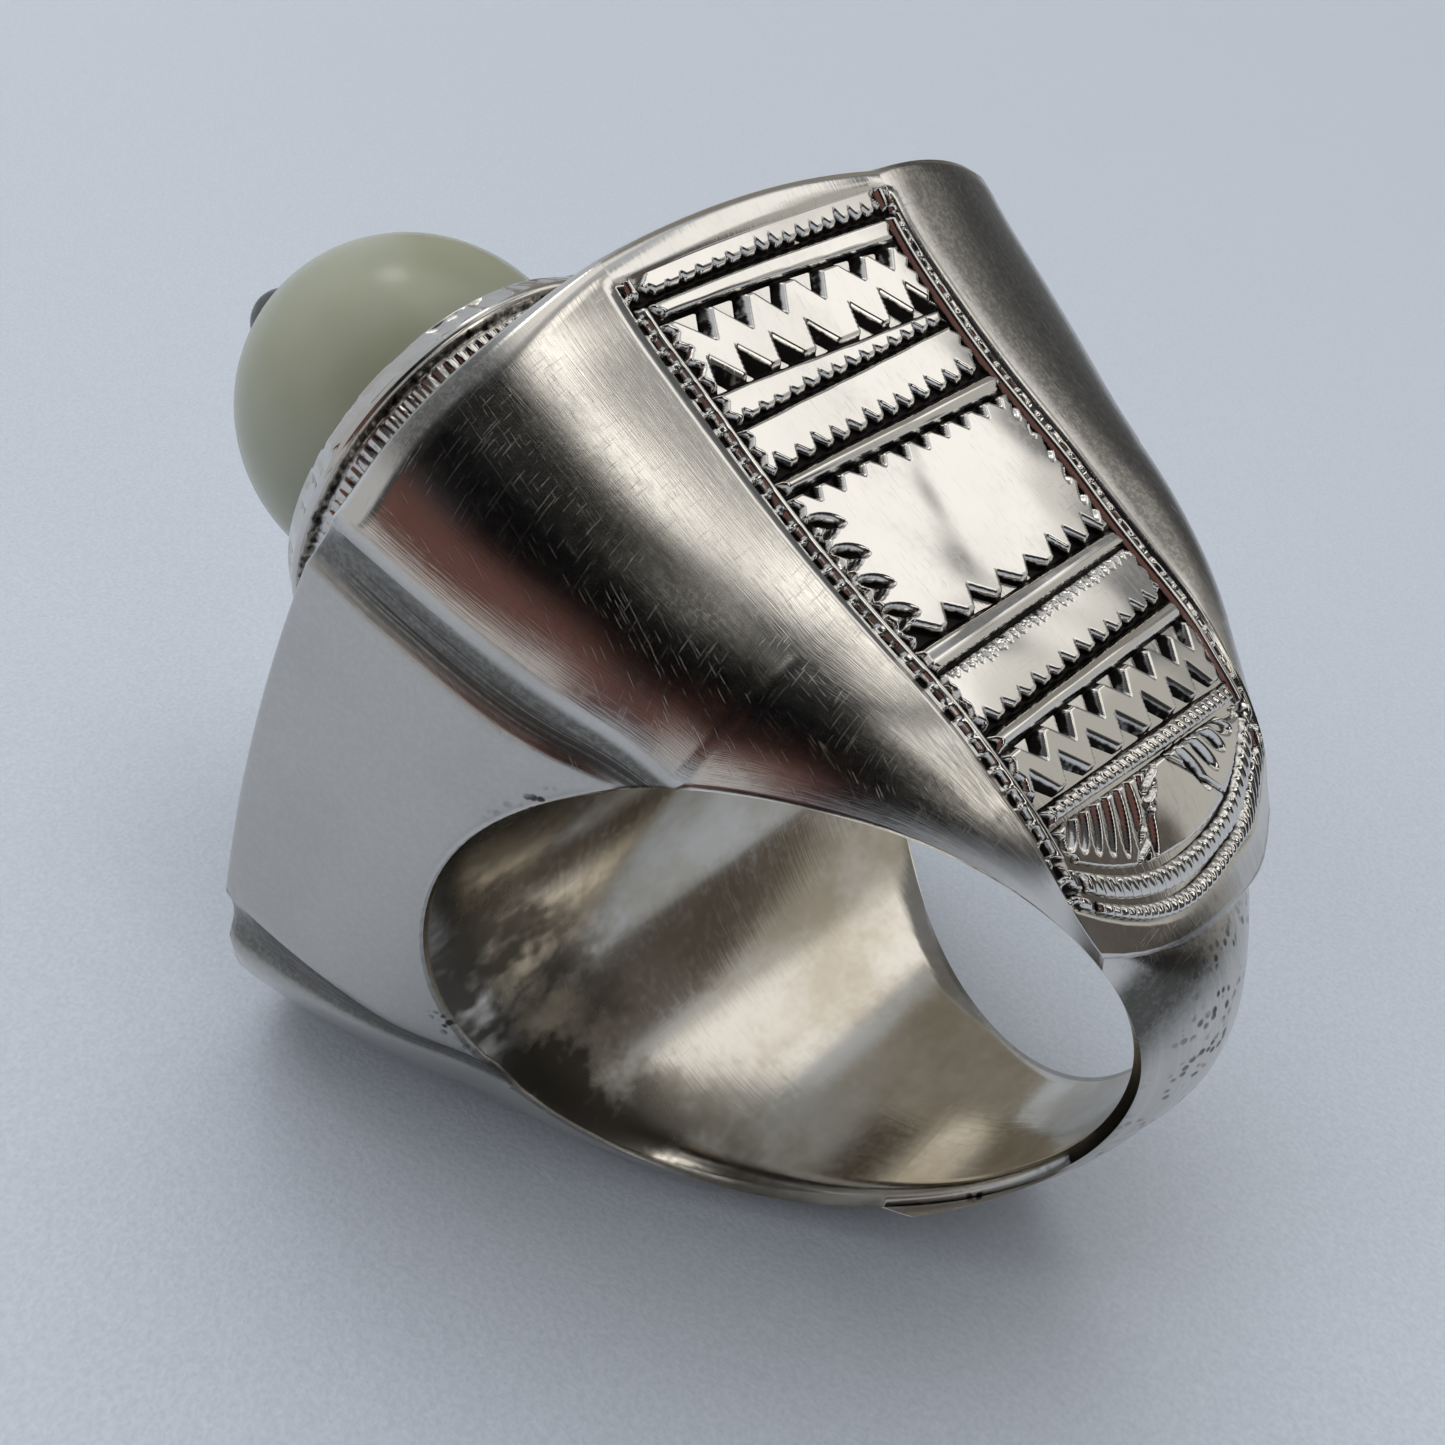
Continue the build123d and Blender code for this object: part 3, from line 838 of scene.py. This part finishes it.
MM = 1 / 9.2
COLLAR_PROFILE = (
    (9.52, 17.40), (9.50, 17.95), (9.42, 18.30), (9.20, 18.62), (8.86, 18.98), (8.50, 19.40), (8.28, 19.62),
    (8.20, 19.80), (8.20, 22.30), (8.28, 22.42), (8.62, 22.47), (8.72, 22.55), (8.75, 22.66), (8.73, 22.78),
    (8.66, 22.90), (8.42, 23.32), (8.24, 23.64), (8.16, 23.74), (8.04, 23.786), (7.60, 23.78), (6.95, 23.76),
    (6.62, 23.74), (6.46, 23.66), (6.36, 23.50), (6.20, 23.10), (5.60, 21.70), (4.60, 20.70), (2.90, 20.05),
    (0.90, 19.80), (0.90, 19.30),
)
RECESS = (19.75, 19.95, 22.16, 22.36)
FLANGE_SLOPE = (22.80, 22.95, 23.55, 23.70)
FLANGE_FOOT = 22.42
RIB_COUNT = 118
RIB_DEPTH = 0.16
COLLAR_SEGMENTS = 826
BEAD_HEIGHT = 26.586
BEAD_RADIUS = 6.8
BEAD_HOLE_ANGLE = 0.10
PIN_LEAN = math.radians(9.3)
WASHER_RADIUS = 1.6
CAP_RADIUS = 1.48
CAP_DOME = 1.4
CAP_FOOT = 1.30


def turned(profile, segments, shape=None):
    """Points of a turned form about the head's axis, as a closed grid; shape changes radius and height."""
    radius, height = np.array(profile, float).T
    angle = np.linspace(0, 2 * math.pi, segments + 1)
    angle[-1] = 0
    radius, angle_grid = np.meshgrid(radius, angle)
    height = np.broadcast_to(height, radius.shape).copy()
    if shape:
        radius, height = shape(radius, height, angle_grid)
    return np.stack([radius * np.sin(angle_grid), radius * np.cos(angle_grid), height], -1)


def leaned(points, angle, about):
    """Turned towards the lower shoulder about a point on the head's axis."""
    out, up = points[..., 1], points[..., 2] - about
    return np.stack([points[..., 0], out * math.cos(angle) - up * math.sin(angle),
                     about + up * math.cos(angle) + out * math.sin(angle)], -1)


def ribs(height, angle):
    """Fine upright ribs round the recess under the flange, and fainter ones on the flange's slope."""
    recess, slope = (band(height, *(place * MM for place in places)) for places in (RECESS, FLANGE_SLOPE))
    wander = 1.5 * np.sin(angle * 3) + 0.8 * np.sin(angle * 7 + 1)
    fine = 0.5 - 0.5 * np.cos(angle * RIB_COUNT + wander)
    wide = 0.5 - 0.5 * np.cos(angle * RIB_COUNT / 2 + wander * 2 + height * 12)
    return recess, slope, fine, wide


def ribbed(radius, height, angle):
    recess, slope, fine, wide = ribs(height, angle)
    hammered = 0.12 * np.sin(angle * 9 + 2) * np.sin(angle * 4) + 0.04 * np.sin(angle * 31 + 3 * np.sin(angle * 5))
    return radius - MM * (RIB_DEPTH * recess * fine + 0.05 * slope * wide + hammered * (slope + recess)), height


def make_collar():
    rows = []
    for (radius, height), (next_radius, next_height) in zip(COLLAR_PROFILE, COLLAR_PROFILE[1:]):
        for share in (0, 1 / 3, 2 / 3):
            rows.append(((radius + (next_radius - radius) * share) * MM,
                         (height + (next_height - height) * share) * MM))
    rows.append((COLLAR_PROFILE[-1][0] * MM, COLLAR_PROFILE[-1][1] * MM))
    radius, height = np.array(rows).T
    angle = np.linspace(0, 2 * math.pi, COLLAR_SEGMENTS + 1)[:, None]
    recess, slope, fine, wide = ribs(height, angle)
    # Black oxide in the rib grooves, with painted shade: the recess under the flange darkened, a dark line where
    # the flange overhangs, and the cup round the bead's foot darkened
    cup = smoothstep(0.72, 0.66, radius) * smoothstep(2.3, 2.5, height)
    under = np.exp(-((height - FLANGE_FOOT * MM) / (0.12 * MM))**2)
    cut = np.clip(recess * (0.12 + 0.45 * fine) + 0.12 * slope * wide + cup + 0.6 * under, 0, 1)
    skin = Skin()
    skin.grid(turned(rows, COLLAR_SEGMENTS, ribbed), cut=cut, patina=0.2)
    return skin.build("bead_collar")


def make_bead():
    skin = Skin()
    polar = np.linspace(BEAD_HOLE_ANGLE, math.pi - BEAD_HOLE_ANGLE, 90)
    profile = [(BEAD_RADIUS * MM * math.sin(a), BEAD_HEIGHT * MM + BEAD_RADIUS * MM * math.cos(a)) for a in polar]
    skin.grid(turned(profile, 160), flip=True)
    return skin.build("jade_ball")


def make_pin():
    skin = Skin()
    top = math.sqrt(BEAD_RADIUS**2 - WASHER_RADIUS**2) + BEAD_HEIGHT
    profile = [(0.02, 20.3), (0.75, 20.3), (0.75, top - 0.1), (1.48, top - 0.12), (1.58, top - 0.06),
               (WASHER_RADIUS, top + 0.05), (WASHER_RADIUS, top + 0.20), (1.54, top + 0.29), (1.42, top + 0.31),
               (1.40, top + 0.36), (1.44, top + 0.50), (CAP_RADIUS, top + 0.80), (CAP_RADIUS, top + CAP_FOOT)]
    profile += [(CAP_RADIUS * math.cos(a), top + CAP_FOOT + CAP_DOME * math.sin(a))
                for a in np.linspace(0.12, 1.56, 12)]
    skin.grid(leaned(turned([(r * MM, h * MM) for r, h in profile], 64), PIN_LEAN, BEAD_HEIGHT * MM))
    return skin.build("bead_pin_cap")


# Materials

class Nodes:
    """Adds shader nodes to one tree; an input is a value or another node's output."""

    def __init__(self, tree):
        self.tree = tree

    def give(self, socket, value):
        if isinstance(value, bpy.types.NodeSocket):
            self.tree.links.new(value, socket)
        else:
            socket.default_value = value

    def add(self, kind, inputs=(), **settings):
        node = self.tree.nodes.new("ShaderNode" + kind)
        for name, value in settings.items():
            setattr(node, name, value)
        for name, value in dict(inputs).items():
            self.give(node.inputs[name], value)
        return node.outputs

    def maths(self, operation, *values, clamp=False):
        node = self.tree.nodes.new("ShaderNodeMath")
        node.operation, node.use_clamp = operation, clamp
        for socket, value in zip(node.inputs, values):
            self.give(socket, value)
        return node.outputs[0]

    def times(self, first, second, clamp=False):
        return self.maths("MULTIPLY", first, second, clamp=clamp)

    def ramp(self, value, low, high, start=0.0, end=1.0):
        """A smooth step from start to end as the value goes from low to high."""
        return self.add("MapRange", {"Value": value, "From Min": low, "From Max": high, "To Min": start,
                                     "To Max": end}, interpolation_type="SMOOTHSTEP")["Result"]

    def mix(self, share, first, second):
        node = self.tree.nodes.new("ShaderNodeMix")
        node.data_type = "RGBA"
        for socket, value in ((node.inputs["Factor"], share), (node.inputs[6], first), (node.inputs[7], second)):
            self.give(socket, value)
        return node.outputs[2]

    def noise(self, place, scale, detail=4.0, roughness=0.6, stretch=None, turn=(0, 0, 0)):
        if stretch:
            place = self.add("Mapping", {"Vector": place, "Scale": stretch, "Rotation": turn})[0]
        return self.add("TexNoise", {"Vector": place, "Scale": scale, "Detail": detail,
                                     "Roughness": roughness})["Fac"]

    def finish(self, name):
        """What the surface carries under one of the names in FINISHES."""
        return self.add("Attribute", attribute_name=name)["Fac"]

    def place(self):
        return self.add("TexCoord")["Object"]

    def bump(self, height, strength, distance):
        return self.add("Bump", {"Height": height, "Strength": strength, "Distance": distance})[0]


def new_material(name):
    """A material, its nodes, and a function that fills its shader's sockets by name."""
    material = bpy.data.materials.new(name)
    material.use_nodes = True
    nodes = Nodes(material.node_tree)
    sockets = material.node_tree.nodes["Principled BSDF"].inputs

    def give(values):
        for socket, value in values.items():
            nodes.give(sockets[socket], value)
    return material, nodes, give


SILVER = (0.762, 0.738, 0.700, 1)
SILVER_DULL = (0.715, 0.692, 0.655, 1)
TARNISH = (0.47, 0.425, 0.345, 1)
# Dark grey of the patina, also used for painted dark reflections on the round sides and the shank's foot
PATINA_AND_PAINTED_REFLECTION = (0.115, 0.110, 0.098, 1)
SOOT = (0.07, 0.062, 0.055, 1)
# Black of the oxide in cuts and pits, also used for painted shade on the collar
OXIDE_AND_PAINTED_SHADE = (0.016, 0.014, 0.013, 1)


def rubbed_lines(nodes, place, inside):
    """Places for noise that changes fast across the lines rubbed along the ring and slowly along them."""
    spot = nodes.add("SeparateXYZ", {"Vector": place})
    return nodes.add("CombineXYZ", {"X": nodes.times(nodes.finish("side"), 90),
                                    "Y": nodes.times(spot["X"], nodes.ramp(inside, 0, 1, 130, 0)),
                                    "Z": nodes.times(spot["Y"], nodes.ramp(inside, 0, 1, 60, 700))})[0]


def pitting(nodes, place):
    """Small dark pits, in groups."""
    holes = nodes.add("TexVoronoi", {"Vector": place, "Scale": 3000})["Distance"]
    many = nodes.ramp(nodes.noise(place, 900, 0), 0.45, 0.6)
    return nodes.times(nodes.times(nodes.ramp(holes, 0.50, 0.30), many), nodes.finish("pits"), clamp=True)


def scratches(nodes, place, rubbed):
    """Rubbed lines, and crossing hair scratches where patina and painted dark reflection give them a dark ground to
    show in.
    """
    hairline = nodes.noise(rubbed, 5.0, 2)
    hairs = (nodes.noise(place, 800, 1, stretch=(32, 1.0, 1.0), turn=(0.3, 0.5, 0.9)),
             nodes.noise(place, 900, 1, stretch=(1.0, 30, 1.0), turn=(0.6, 0.2, 0.3)))
    lines = nodes.maths("MAXIMUM", *(nodes.ramp(hair, 0.66, 0.74) for hair in hairs))
    lines = nodes.times(lines, nodes.ramp(nodes.finish("patina"), 0.0, 0.6, 0.12, 1.0))
    return nodes.bump(nodes.maths("SUBTRACT", nodes.times(hairline, 0.7), lines), 0.22, 0.00002)


def make_silver():
    """Old handled silver: clouded polish, hair scratches, tarnish inside, grey patina with painted dark
    reflections, black oxide in the cuts and painted shade on the collar.
    """
    material, nodes, give = new_material("worn_silver")
    place = nodes.place()
    inside = nodes.finish("inside")
    rubbed = rubbed_lines(nodes, place, inside)
    cloud = nodes.noise(place, 180, 2)
    grain = nodes.noise(place, 2600, 2)
    blotch = nodes.noise(place, 260, 4, 0.65, stretch=(1, 0.6, 1))
    # How much there is of each layer
    brown = nodes.times(inside, nodes.ramp(blotch, 0.38, 0.66, 0.40, 0.95))
    # Grey patina, which on the round sides and by the shank's foot is painted dark reflection
    grey = nodes.times(nodes.finish("patina"), nodes.ramp(nodes.noise(place, 5200, 2, 0.8), 0.36, 0.60, 0.88, 1.0))
    smear = nodes.mix(inside, nodes.noise(rubbed, 1.0, 3), blotch)
    dirty = nodes.times(nodes.finish("streak"), nodes.ramp(smear, 0.40, 0.58), clamp=True)
    uneven_cut = nodes.maths("ADD", nodes.finish("cut"), nodes.times(nodes.maths("SUBTRACT", grain, 0.5), 0.9))
    # Black oxide in the cuts, and painted shade under the collar's flange and round its cup
    black = nodes.ramp(uneven_cut, 0.34, 0.74)
    # Colour, from the metal up
    color = nodes.mix(nodes.ramp(cloud, 0.42, 0.68), SILVER, SILVER_DULL)
    for share, layer in ((brown, TARNISH), (grey, PATINA_AND_PAINTED_REFLECTION), (nodes.times(dirty, 0.9), SOOT),
                         (nodes.times(pitting(nodes, place), 0.95), OXIDE_AND_PAINTED_SHADE), (black, OXIDE_AND_PAINTED_SHADE)):
        color = nodes.mix(share, color, layer)
    # Polish
    polish = nodes.ramp(cloud, 0.35, 0.70, 0.095, 0.13)
    for share, rougher in ((nodes.ramp(grain, 0.45, 0.7), 0.05), (black, 0.30), (dirty, 0.18), (grey, 0.07),
                           (inside, 0.03)):
        polish = nodes.maths("ADD", polish, nodes.times(share, rougher))
    give({"Base Color": color, "Roughness": polish, "Metallic": 1.0, "Normal": scratches(nodes, place, rubbed)})
    return material


def make_jade():
    material, nodes, give = new_material("jade")
    cloud = nodes.ramp(nodes.noise(nodes.place(), 120, 2), 0.35, 0.7)
    give({"Base Color": nodes.mix(cloud, (0.25, 0.262, 0.19, 1), (0.295, 0.305, 0.23, 1)), "Roughness": 0.24,
          "IOR": 1.6, "Subsurface Weight": 0.55, "Subsurface Radius": (0.7, 0.9, 0.5),
          "Subsurface Scale": 0.0025})
    return material


def make_dark_silver():
    material, nodes, give = new_material("dark_silver")
    cloud = nodes.noise(nodes.place(), 700, 4)
    color = nodes.mix(nodes.ramp(cloud, 0.4, 0.65), (0.16, 0.17, 0.16, 1), (0.06, 0.065, 0.065, 1))
    give({"Base Color": color, "Metallic": 1.0, "Roughness": nodes.ramp(cloud, 0.3, 0.7, 0.22, 0.42)})
    return material


def make_floor_material():
    material, nodes, give = new_material("pale_floor")
    grain = nodes.noise(nodes.place(), 5200, 1)
    give({"Base Color": nodes.mix(grain, (0.385, 0.425, 0.485, 1), (0.515, 0.56, 0.63, 1)), "Roughness": 0.55,
          "Normal": nodes.bump(grain, 0.25, 0.0001)})
    return material


def make_wall_material():
    material, nodes, give = new_material("pale_wall")
    give({"Base Color": (0, 0, 0, 1), "Roughness": 1.0, "Specular IOR Level": 0.0,
          "Emission Color": (0.47, 0.51, 0.57, 1), "Emission Strength": 1.0})
    material.cycles.emission_sampling = "NONE"
    return material


# Stage

FLOOR = cad_box[0][2]
FLOOR_REACH = 3.0
WALL_REACH = 2.9
WALL_TOP = 2.5
WALL_SIDES = 48

# Soft patches of the studio round the ring: where they stand in degrees, how softly they end, what they give
ROOM_PATCHES = (
    # azimuth from, to, height from, to, softness, (red, green, blue)
    (-175, -110, -10, 50, 20, (0.50, 0.51, 0.52)),
    (98, 180, 58, 90, 12, (1.0, 0.97, 0.93)),
    (151, 169, 49, 61, 4, (3.2, 3.2, 3.1)),
    (-112, -2, -30, 84, 8, (0.070, 0.070, 0.073)),
    (-66, -40, 62, 82, 6, (0.10, 0.10, 0.102)),
    (-40, -2, 58, 76, 5, (0.035, 0.035, 0.036)),
    (-30, -14, 50, 62, 5, (0.16, 0.16, 0.16)),
    (-80, -36, 4, 62, 7, (0.010, 0.010, 0.012)),
    (-100, -54, 3, 34, 4, (0.135, 0.066, 0.056)),
    (-112, -64, 1, 13, 2, (0.56, 0.55, 0.54)),
    (-19, -4, 20, 60, 3, (1.8, 1.75, 1.63)),
    (0, 68, 58, 88, 5, (0.43, 0.418, 0.40)),
    (8, 46, 66, 77, 5, (1.65, 1.61, 1.51)),
    (-5, 32, -20, 50, 6, (0.03, 0.03, 0.03)),
    (32, 47, -5, 32, 3, (0.105, 0.092, 0.082)),
    (46, 68, -8, 38, 3, (0.52, 0.51, 0.48)),
    (66, 104, -8, 41, 4, (0.20, 0.205, 0.212)),
    (58, 77, 31, 40, 4, (0.80, 0.785, 0.75)),
    (36, 92, 37, 57, 4, (1.22, 1.20, 1.165)),
    (104, 142, -20, 52, 8, (0.27, 0.255, 0.225)),
)
ROOM_COLOR = (0.52, 0.55, 0.59, 1)
TO_DEGREES = 180 / math.pi


def make_world():
    world = bpy.data.worlds.new("studio")
    bpy.context.scene.world = world
    world.use_nodes = True
    nodes = Nodes(world.node_tree)
    split = nodes.add("SeparateXYZ", {"Vector": nodes.add("TexCoord")["Generated"]})
    azimuth = nodes.times(nodes.maths("ARCTAN2", split["Y"], split["X"]), TO_DEGREES)
    height = nodes.times(nodes.maths("ARCSINE", split["Z"]), TO_DEGREES)

    def within(value, low, high, soft):
        return nodes.times(nodes.ramp(value, low - soft / 2, low + soft / 2),
                           nodes.ramp(value, high - soft / 2, high + soft / 2, 1, 0))

    color = ROOM_COLOR
    for west, east, low, high, soft, glow in ROOM_PATCHES:
        share = nodes.times(within(azimuth, west, east, soft), within(height, low, high, soft))
        color = nodes.mix(share, color, (*glow, 1))
    background = world.node_tree.nodes["Background"].inputs
    nodes.give(background["Color"], color)
    background["Strength"].default_value = 1.0
    world.cycles.sampling_method = "NONE"


def stage_piece(name, points, faces, material):
    mesh = bpy.data.meshes.new(name)
    mesh.from_pydata(points, [], faces)
    obj = bpy.data.objects.new(name, mesh)
    bpy.context.collection.objects.link(obj)
    obj.data.materials.append(material)
    return obj


def make_floor():
    corners = [(-1, -1), (1, -1), (1, 1), (-1, 1)]
    points = [(x * FLOOR_REACH, y * FLOOR_REACH, FLOOR) for x, y in corners]
    stage_piece("floor", points, [(0, 1, 2, 3)], make_floor_material())


def make_backdrop():
    """A pale wall far round the floor, seen only by the camera."""
    steps = [k * math.tau / WALL_SIDES for k in range(WALL_SIDES)]
    ring = [(WALL_REACH * math.cos(a), WALL_REACH * math.sin(a)) for a in steps]
    points = [(x, y, FLOOR - 0.01) for x, y in ring] + [(x, y, WALL_TOP) for x, y in ring]
    after = [(k + 1) % WALL_SIDES for k in range(WALL_SIDES)]
    faces = [(k, after[k], WALL_SIDES + after[k], WALL_SIDES + k) for k in range(WALL_SIDES)]
    wall = stage_piece("backdrop", points, faces, make_wall_material())
    wall.visible_glossy = wall.visible_diffuse = wall.visible_shadow = wall.visible_transmission = False


# The photo's camera, worked out from the outline of the finger hole's rim and the corners of the head
CAMERA_PLACE = Vector((0.0144423, -0.0378488, 0.0329336))
CAMERA_RIGHT = Vector((0.7693, 0.6169, 0.1662))
CAMERA_UP = Vector((-0.4690, 0.3680, 0.8029))
CAMERA_LENS = 37.64


def make_camera():
    data = bpy.data.cameras.new("camera")
    data.sensor_width = 36.0
    data.lens = CAMERA_LENS
    data.clip_start = 0.002
    camera = bpy.data.objects.new("camera", data)
    bpy.context.collection.objects.link(camera)
    right = CAMERA_RIGHT.normalized()
    back = right.cross(CAMERA_UP).normalized()
    turn = Matrix((right, back.cross(right), back)).transposed()
    camera.matrix_world = Matrix.Translation(CAMERA_PLACE) @ turn.to_4x4()
    bpy.context.scene.camera = camera


LIGHTS = (
    # name, place, width and height, power; all of them face the ring
    ("window", (-0.8, 0.4, 1.95), (2.4, 2.4), 38),
    ("fill", (-0.9, -1.6, 1.1), (1.8, 1.4), 14),
)


def make_lights():
    for name, place, size, power in LIGHTS:
        data = bpy.data.lights.new(name, "AREA")
        data.shape = "RECTANGLE"
        data.size, data.size_y = size
        data.energy = power
        obj = bpy.data.objects.new(name, data)
        obj.location = place
        obj.rotation_euler = (-Vector(place)).to_track_quat("-Z", "Y").to_euler()
        obj.visible_glossy = False
        bpy.context.collection.objects.link(obj)


make_camera()
make_world()
make_lights()
bpy.context.scene.view_settings.view_transform = "Standard"
cycles = bpy.context.scene.cycles
cycles.max_bounces, cycles.diffuse_bounces, cycles.glossy_bounces, cycles.transmission_bounces = 4, 2, 3, 0
make_floor()
make_backdrop()

silver = make_silver()
body = make_body()
collar = make_collar()
bead = make_bead()
pin = make_pin()
upper_ornament = make_ornament("upper_ornament", UPPER, 1, CUT_SEED)
lower_ornament = make_ornament("lower_ornament", LOWER, -1, CUT_SEED + 5)
PIECES = (
    # piece, material, the node it stands for, slot
    (body, silver, "ring_body", "silver"),
    (upper_ornament, silver, "ring_body", "silver"),
    (lower_ornament, silver, "ring_body", "silver"),
    (collar, silver, "ring_body", "silver"),
    (bead, make_jade(), "jade_bead", "jade"),
    (pin, make_dark_silver(), "bead_pin", "dark_silver"),
)
for piece, material, node, slot in PIECES:
    piece.data.materials.append(material)
    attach(piece, "root")
    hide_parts(node)
